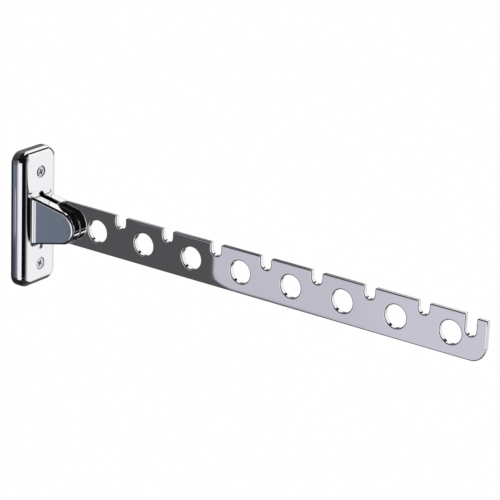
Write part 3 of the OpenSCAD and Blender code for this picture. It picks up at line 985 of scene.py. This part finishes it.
def growRoot(bm):
    # rings of the ear's outline, spread more and more, from the ear down into the plate
    root = [edge for edge in bm.edges if edge.is_boundary]
    verts = list({vert for edge in root for vert in edge.verts})
    outer = ear["inner"] + ear["thickness"]
    top = max(vert.co.y for vert in verts)
    under = min(vert.co.y for vert in verts)
    middle = (top + under) / 2
    lean = {}  # the way in which a point spreads
    home = {}  # its place in the ear's own outline
    for vert in verts:
        home[vert] = vert.co.copy()
        up = 1 if vert.co.y > middle else -1
        if vert.co.z < ear["inner"] + ear["innerRim"] + near:
            lean[vert] = Vector((0, up))
            continue
        corner = Vector((max(0, vert.co.z - outer + ear["outerRim"]), 0))
        edgeY = top - ear["outerRim"] if up > 0 else under + ear["outerRim"]
        corner.y = max(0, (vert.co.y - edgeY) * up) * up
        lean[vert] = corner.normalized()
    steps = ear["filletRings"]
    slopes = {
        1: math.tan(math.radians(ear["topSlope"])),
        -1: -math.tan(math.radians(ear["underSlope"])),
    }
    for step in range(1, steps + 2):
        grown = bmesh.ops.extrude_edge_only(bm, edges=root)["geom"]
        fresh = set(onlyVerts(grown))
        for vert in fresh:
            joined = [edge.other_vert(vert) for edge in vert.link_edges]
            old = next(other for other in joined if other not in fresh)
            lean[vert] = lean[old]
            home[vert] = home[old]
            sideSpread, sideOut = curvePoint(ear["sideFillet"], min(1, step / steps))
            edgeSpread, edgeOut = curvePoint(ear["edgeFillet"], min(1, step / steps))
            sideShare = lean[vert].x ** 2
            spread = sideSpread * sideShare + edgeSpread * (1 - sideShare)
            out = sideOut * sideShare + edgeOut * (1 - sideShare)
            if step > steps:
                out = ear["rootEnd"]
            up = 1 if home[vert].y > middle else -1
            vert.co.x = out
            vert.co.y = home[vert].y + slopes[up] * (ear["rootOut"] - out) + lean[vert].y * spread
            vert.co.z = home[vert].z + lean[vert].x * spread
        root = [edge for edge in onlyEdges(grown) if fresh.issuperset(edge.verts)]
    bmesh.ops.holes_fill(bm, edges=root, sides=0)


def makeEar(side):
    # side is 1 for the ear at the left and -1 for the one that the pin enters
    inner = ear["inner"]
    outer = inner + ear["thickness"]
    bm = bmesh.new()
    drawEar(bm)
    fillLevel(bm, inner)
    grown = bmesh.ops.extrude_face_region(bm, geom=bm.faces[:])["geom"]
    bmesh.ops.translate(bm, verts=onlyVerts(grown), vec=(0, 0, ear["thickness"]))
    bmesh.ops.recalc_face_normals(bm, faces=bm.faces[:])
    for level, radius, segments in (
        (outer, ear["outerRim"], ear["outerRimSegments"]),
        (inner, ear["innerRim"], ear["innerRimSegments"]),
    ):
        rim = [
            edge for edge in bm.edges
            if atLevel(edge, level)
            and max(vert.co.x for vert in edge.verts) > ear["rootOut"] + near
        ]
        soften(bm, rim, radius, segments)
    rootFaces = [
        face for face in bm.faces
        if all(abs(vert.co.x - ear["rootOut"]) < near for vert in face.verts)
    ]
    bmesh.ops.delete(bm, geom=rootFaces, context="FACES_ONLY")
    growRoot(bm)
    if side < 0:
        cap = [face for face in bm.faces if all(atLevel(edge, outer) for edge in face.edges)]
        bmesh.ops.delete(bm, geom=cap, context="FACES_ONLY")
        seat = addCircle(bm, *pivot, outer, ear["seatRadius"], plate["roundSteps"])
        wallTo(bm, seat, outer - ear["seatDepth"])
        fillLevel(bm, outer - ear["seatDepth"])
        fillLevel(bm, outer)
    bmesh.ops.scale(bm, verts=bm.verts[:], vec=(1, 1, side))
    bmesh.ops.transform(bm, matrix=sideView, verts=bm.verts[:])
    mesh = bpy.data.meshes.new("ear")
    bm.to_mesh(mesh)
    bm.free()
    return mesh


def makeCasting():
    bm = bmesh.new()
    drawPlate(bm)
    cutFront(bm)
    hollowBack(bm)
    bmesh.ops.transform(bm, matrix=frontView, verts=bm.verts[:])
    for side in (1, -1):
        mesh = makeEar(side)
        bm.from_mesh(mesh)
        bpy.data.meshes.remove(mesh)
    piece = toObject(bm, "wall_plate_casting")
    cleanNormals(piece)
    dress(piece, "base", "chromed_casting", castChrome, "wall_plate")


makeCasting()
print("plate cast and polished")


pinLow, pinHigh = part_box("pivot_pin")
pin = {
    "radius": 3,
    "chamfer": 0.5,
    "rim": 0.12,           # the small rounding between chamfer and side
    "dimpleRadius": 1.2,
    "dimpleDepth": 0.25,
    "dimpleShoulder": 0.7,  # the share of the dimple's radius and depth where it turns flat
    "steps": 72,
    "sharpAngle": 30,
}


def makePin():
    # upright in its drawing, from the foot in the blind ear to the end in the open one
    foot = pinLow.x / mm
    end = pinHigh.x / mm
    radius = pin["radius"]
    chamfer = pin["chamfer"]
    rim = pin["rim"]
    dimple = pin["dimpleRadius"]
    sunk = pin["dimpleDepth"]
    shoulder = pin["dimpleShoulder"]
    profile = (
        (0, foot),
        (radius - chamfer, foot),
        (radius - rim, foot + chamfer - rim),
        (radius, foot + chamfer + rim),
        (radius, end - chamfer - rim),
        (radius - rim, end - chamfer + rim),
        (radius - chamfer, end),
        (dimple, end),
        (dimple * shoulder, end - sunk * shoulder),
        (0, end - sunk),
    )
    bm = bmesh.new()
    turnProfile(bm, profile, pin["steps"])
    bmesh.ops.remove_doubles(bm, verts=bm.verts[:], dist=near)
    across = Matrix.Rotation(math.pi / 2, 4, "Y")
    stood = Matrix.Translation((0, -pivot.x * mm, pivot.y * mm)) @ across @ toMetres
    piece = toObject(bm, "pivot_pin_turned", stood, pin["sharpAngle"])
    cleanNormals(piece)
    dress(piece, "base", "pin_steel", pinSteel, "pivot_pin")


makePin()
print("pin turned")


screw = {
    "length": 18,
    "headRadius": 3.3,
    "headRim": 0.1,
    "rimRounding": 0.08,
    "bevelSlope": 0.55,    # how deep the face's bevel is for its width
    "bevels": (0.9, 0.2),  # the widths for the upper and the lower screw
    "turns": (24, 61),     # how their crosses are turned
    "neckRadius": 1.3,
    "neckEnd": 9.2,        # how far below the head's face the thread begins
    "coreRadius": 1.15,
    "threadRadius": 1.72,
    "ridge": (0.3, 0.6, 0.7),  # shares of a pitch: the ridge rises, its crest begins and ends
    "pitch": 1.3,
    "runIn": 0.5,          # how many pitches the ridge takes to begin
    "neckRunOn": 1.6,      # how many pitches the neck runs on inside the thread
    "point": 4.5,
    "turnSteps": 24,
    "headSteps": 64,
    "crossReach": 1.9,
    "crossHalf": 0.5,
    "crossDepth": 1.7,
    "crossTaper": 0.55,
    "crossSteps": 8,
    "sharpAngle": 30,
}


def drawCross(bm):
    half = screw["crossHalf"]
    hub = screw["crossReach"] - half
    start = bm.verts.new((half, half, 0))
    pen = start
    for quarter in range(4):
        turned = Matrix.Rotation(-quarter * math.pi / 2, 2)
        pen = lineTo(bm, pen, *(turned @ Vector((hub, half))))
        pen = arcTo(bm, pen, *(turned @ Vector((hub, 0))), -180, screw["crossSteps"])
        pen = lineTo(bm, pen, *(turned @ Vector((half, -half))))
    bmesh.ops.remove_doubles(bm, verts=[pen, start], dist=near)


def cutThread():
    # one pitch of the thread's outline wound down to the point, where it narrows to nothing
    core = screw["coreRadius"]
    crest = screw["threadRadius"]
    rise, crestFrom, crestTo = screw["ridge"]
    pitch = screw["pitch"]
    top = -screw["neckEnd"]
    tip = -screw["length"]
    steps = screw["turnSteps"]
    turns = math.ceil((top - tip) / pitch)
    bm = bmesh.new()
    pen = bm.verts.new((core, 0, top))
    for radius, share in ((core, rise), (crest, crestFrom), (crest, crestTo), (core, 1)):
        pen = bmesh.ops.extrude_vert_indiv(bm, verts=[pen])["verts"][0]
        pen.co = (radius, 0, top - share * pitch)
    bmesh.ops.spin(
        bm,
        geom=bm.verts[:] + bm.edges[:],
        cent=(0, 0, 0),
        axis=(0, 0, 1),
        dvec=(0, 0, -pitch / steps),
        angle=2 * math.pi * turns,
        steps=turns * steps,
    )
    for vert in bm.verts:
        radius = vert.co.xy.length
        begun = min(1, max(0, (top - vert.co.z) / pitch - screw["runIn"]))
        narrowing = min(1, max(0, (vert.co.z - tip) / screw["point"]))
        scaled = (core + (radius - core) * begun) * narrowing / radius
        vert.co.x *= scaled
        vert.co.y *= scaled
        vert.co.z = max(vert.co.z, tip)
    bmesh.ops.remove_doubles(bm, verts=bm.verts[:], dist=near)
    bmesh.ops.holes_fill(bm, edges=bm.edges[:], sides=0)
    bmesh.ops.recalc_face_normals(bm, faces=bm.faces[:])
    mesh = bpy.data.meshes.new("thread")
    bm.to_mesh(mesh)
    bm.free()
    return mesh


def makeScrew(node, up, sink, turn, bevel):
    radius = screw["headRadius"]
    neck = screw["neckRadius"]
    rounding = screw["rimRounding"]
    rimTop = -screw["bevelSlope"] * bevel
    rimFoot = rimTop - screw["headRim"]
    neckFoot = -screw["neckEnd"] - screw["neckRunOn"] * screw["pitch"]
    profile = (
        (radius - bevel, 0),
        (radius - rounding, rimTop),
        (radius, rimTop - rounding),
        (radius, rimFoot),
        (neck, rimFoot + neck - radius),
        (neck, neckFoot),
        (0, neckFoot),
    )
    bm = bmesh.new()
    drawCross(bm)
    wallTo(bm, bm.edges[:], -screw["crossDepth"], screw["crossTaper"])
    fillLevel(bm, -screw["crossDepth"])
    turnProfile(bm, profile, screw["headSteps"])
    fillLevel(bm, 0)
    mesh = cutThread()
    bm.from_mesh(mesh)
    bpy.data.meshes.remove(mesh)
    turned = Matrix.Rotation(math.radians(turn), 3, "Z")
    bmesh.ops.rotate(bm, verts=bm.verts[:], cent=(0, 0, 0), matrix=turned)
    stood = frontView @ Matrix.Translation((0, up, plate["depth"] - sink))
    piece = toObject(bm, node + "_threaded", stood, screw["sharpAngle"])
    cleanNormals(piece)
    dress(piece, "base", "screw_steel", screwSteel, node)


for row, node in enumerate(("upper_screw", "lower_screw")):
    up = plate["screwUp"] * (1 - 2 * row)
    makeScrew(node, up, plate["screwSinks"][row], screw["turns"][row], screw["bevels"][row])
print("screws threaded")
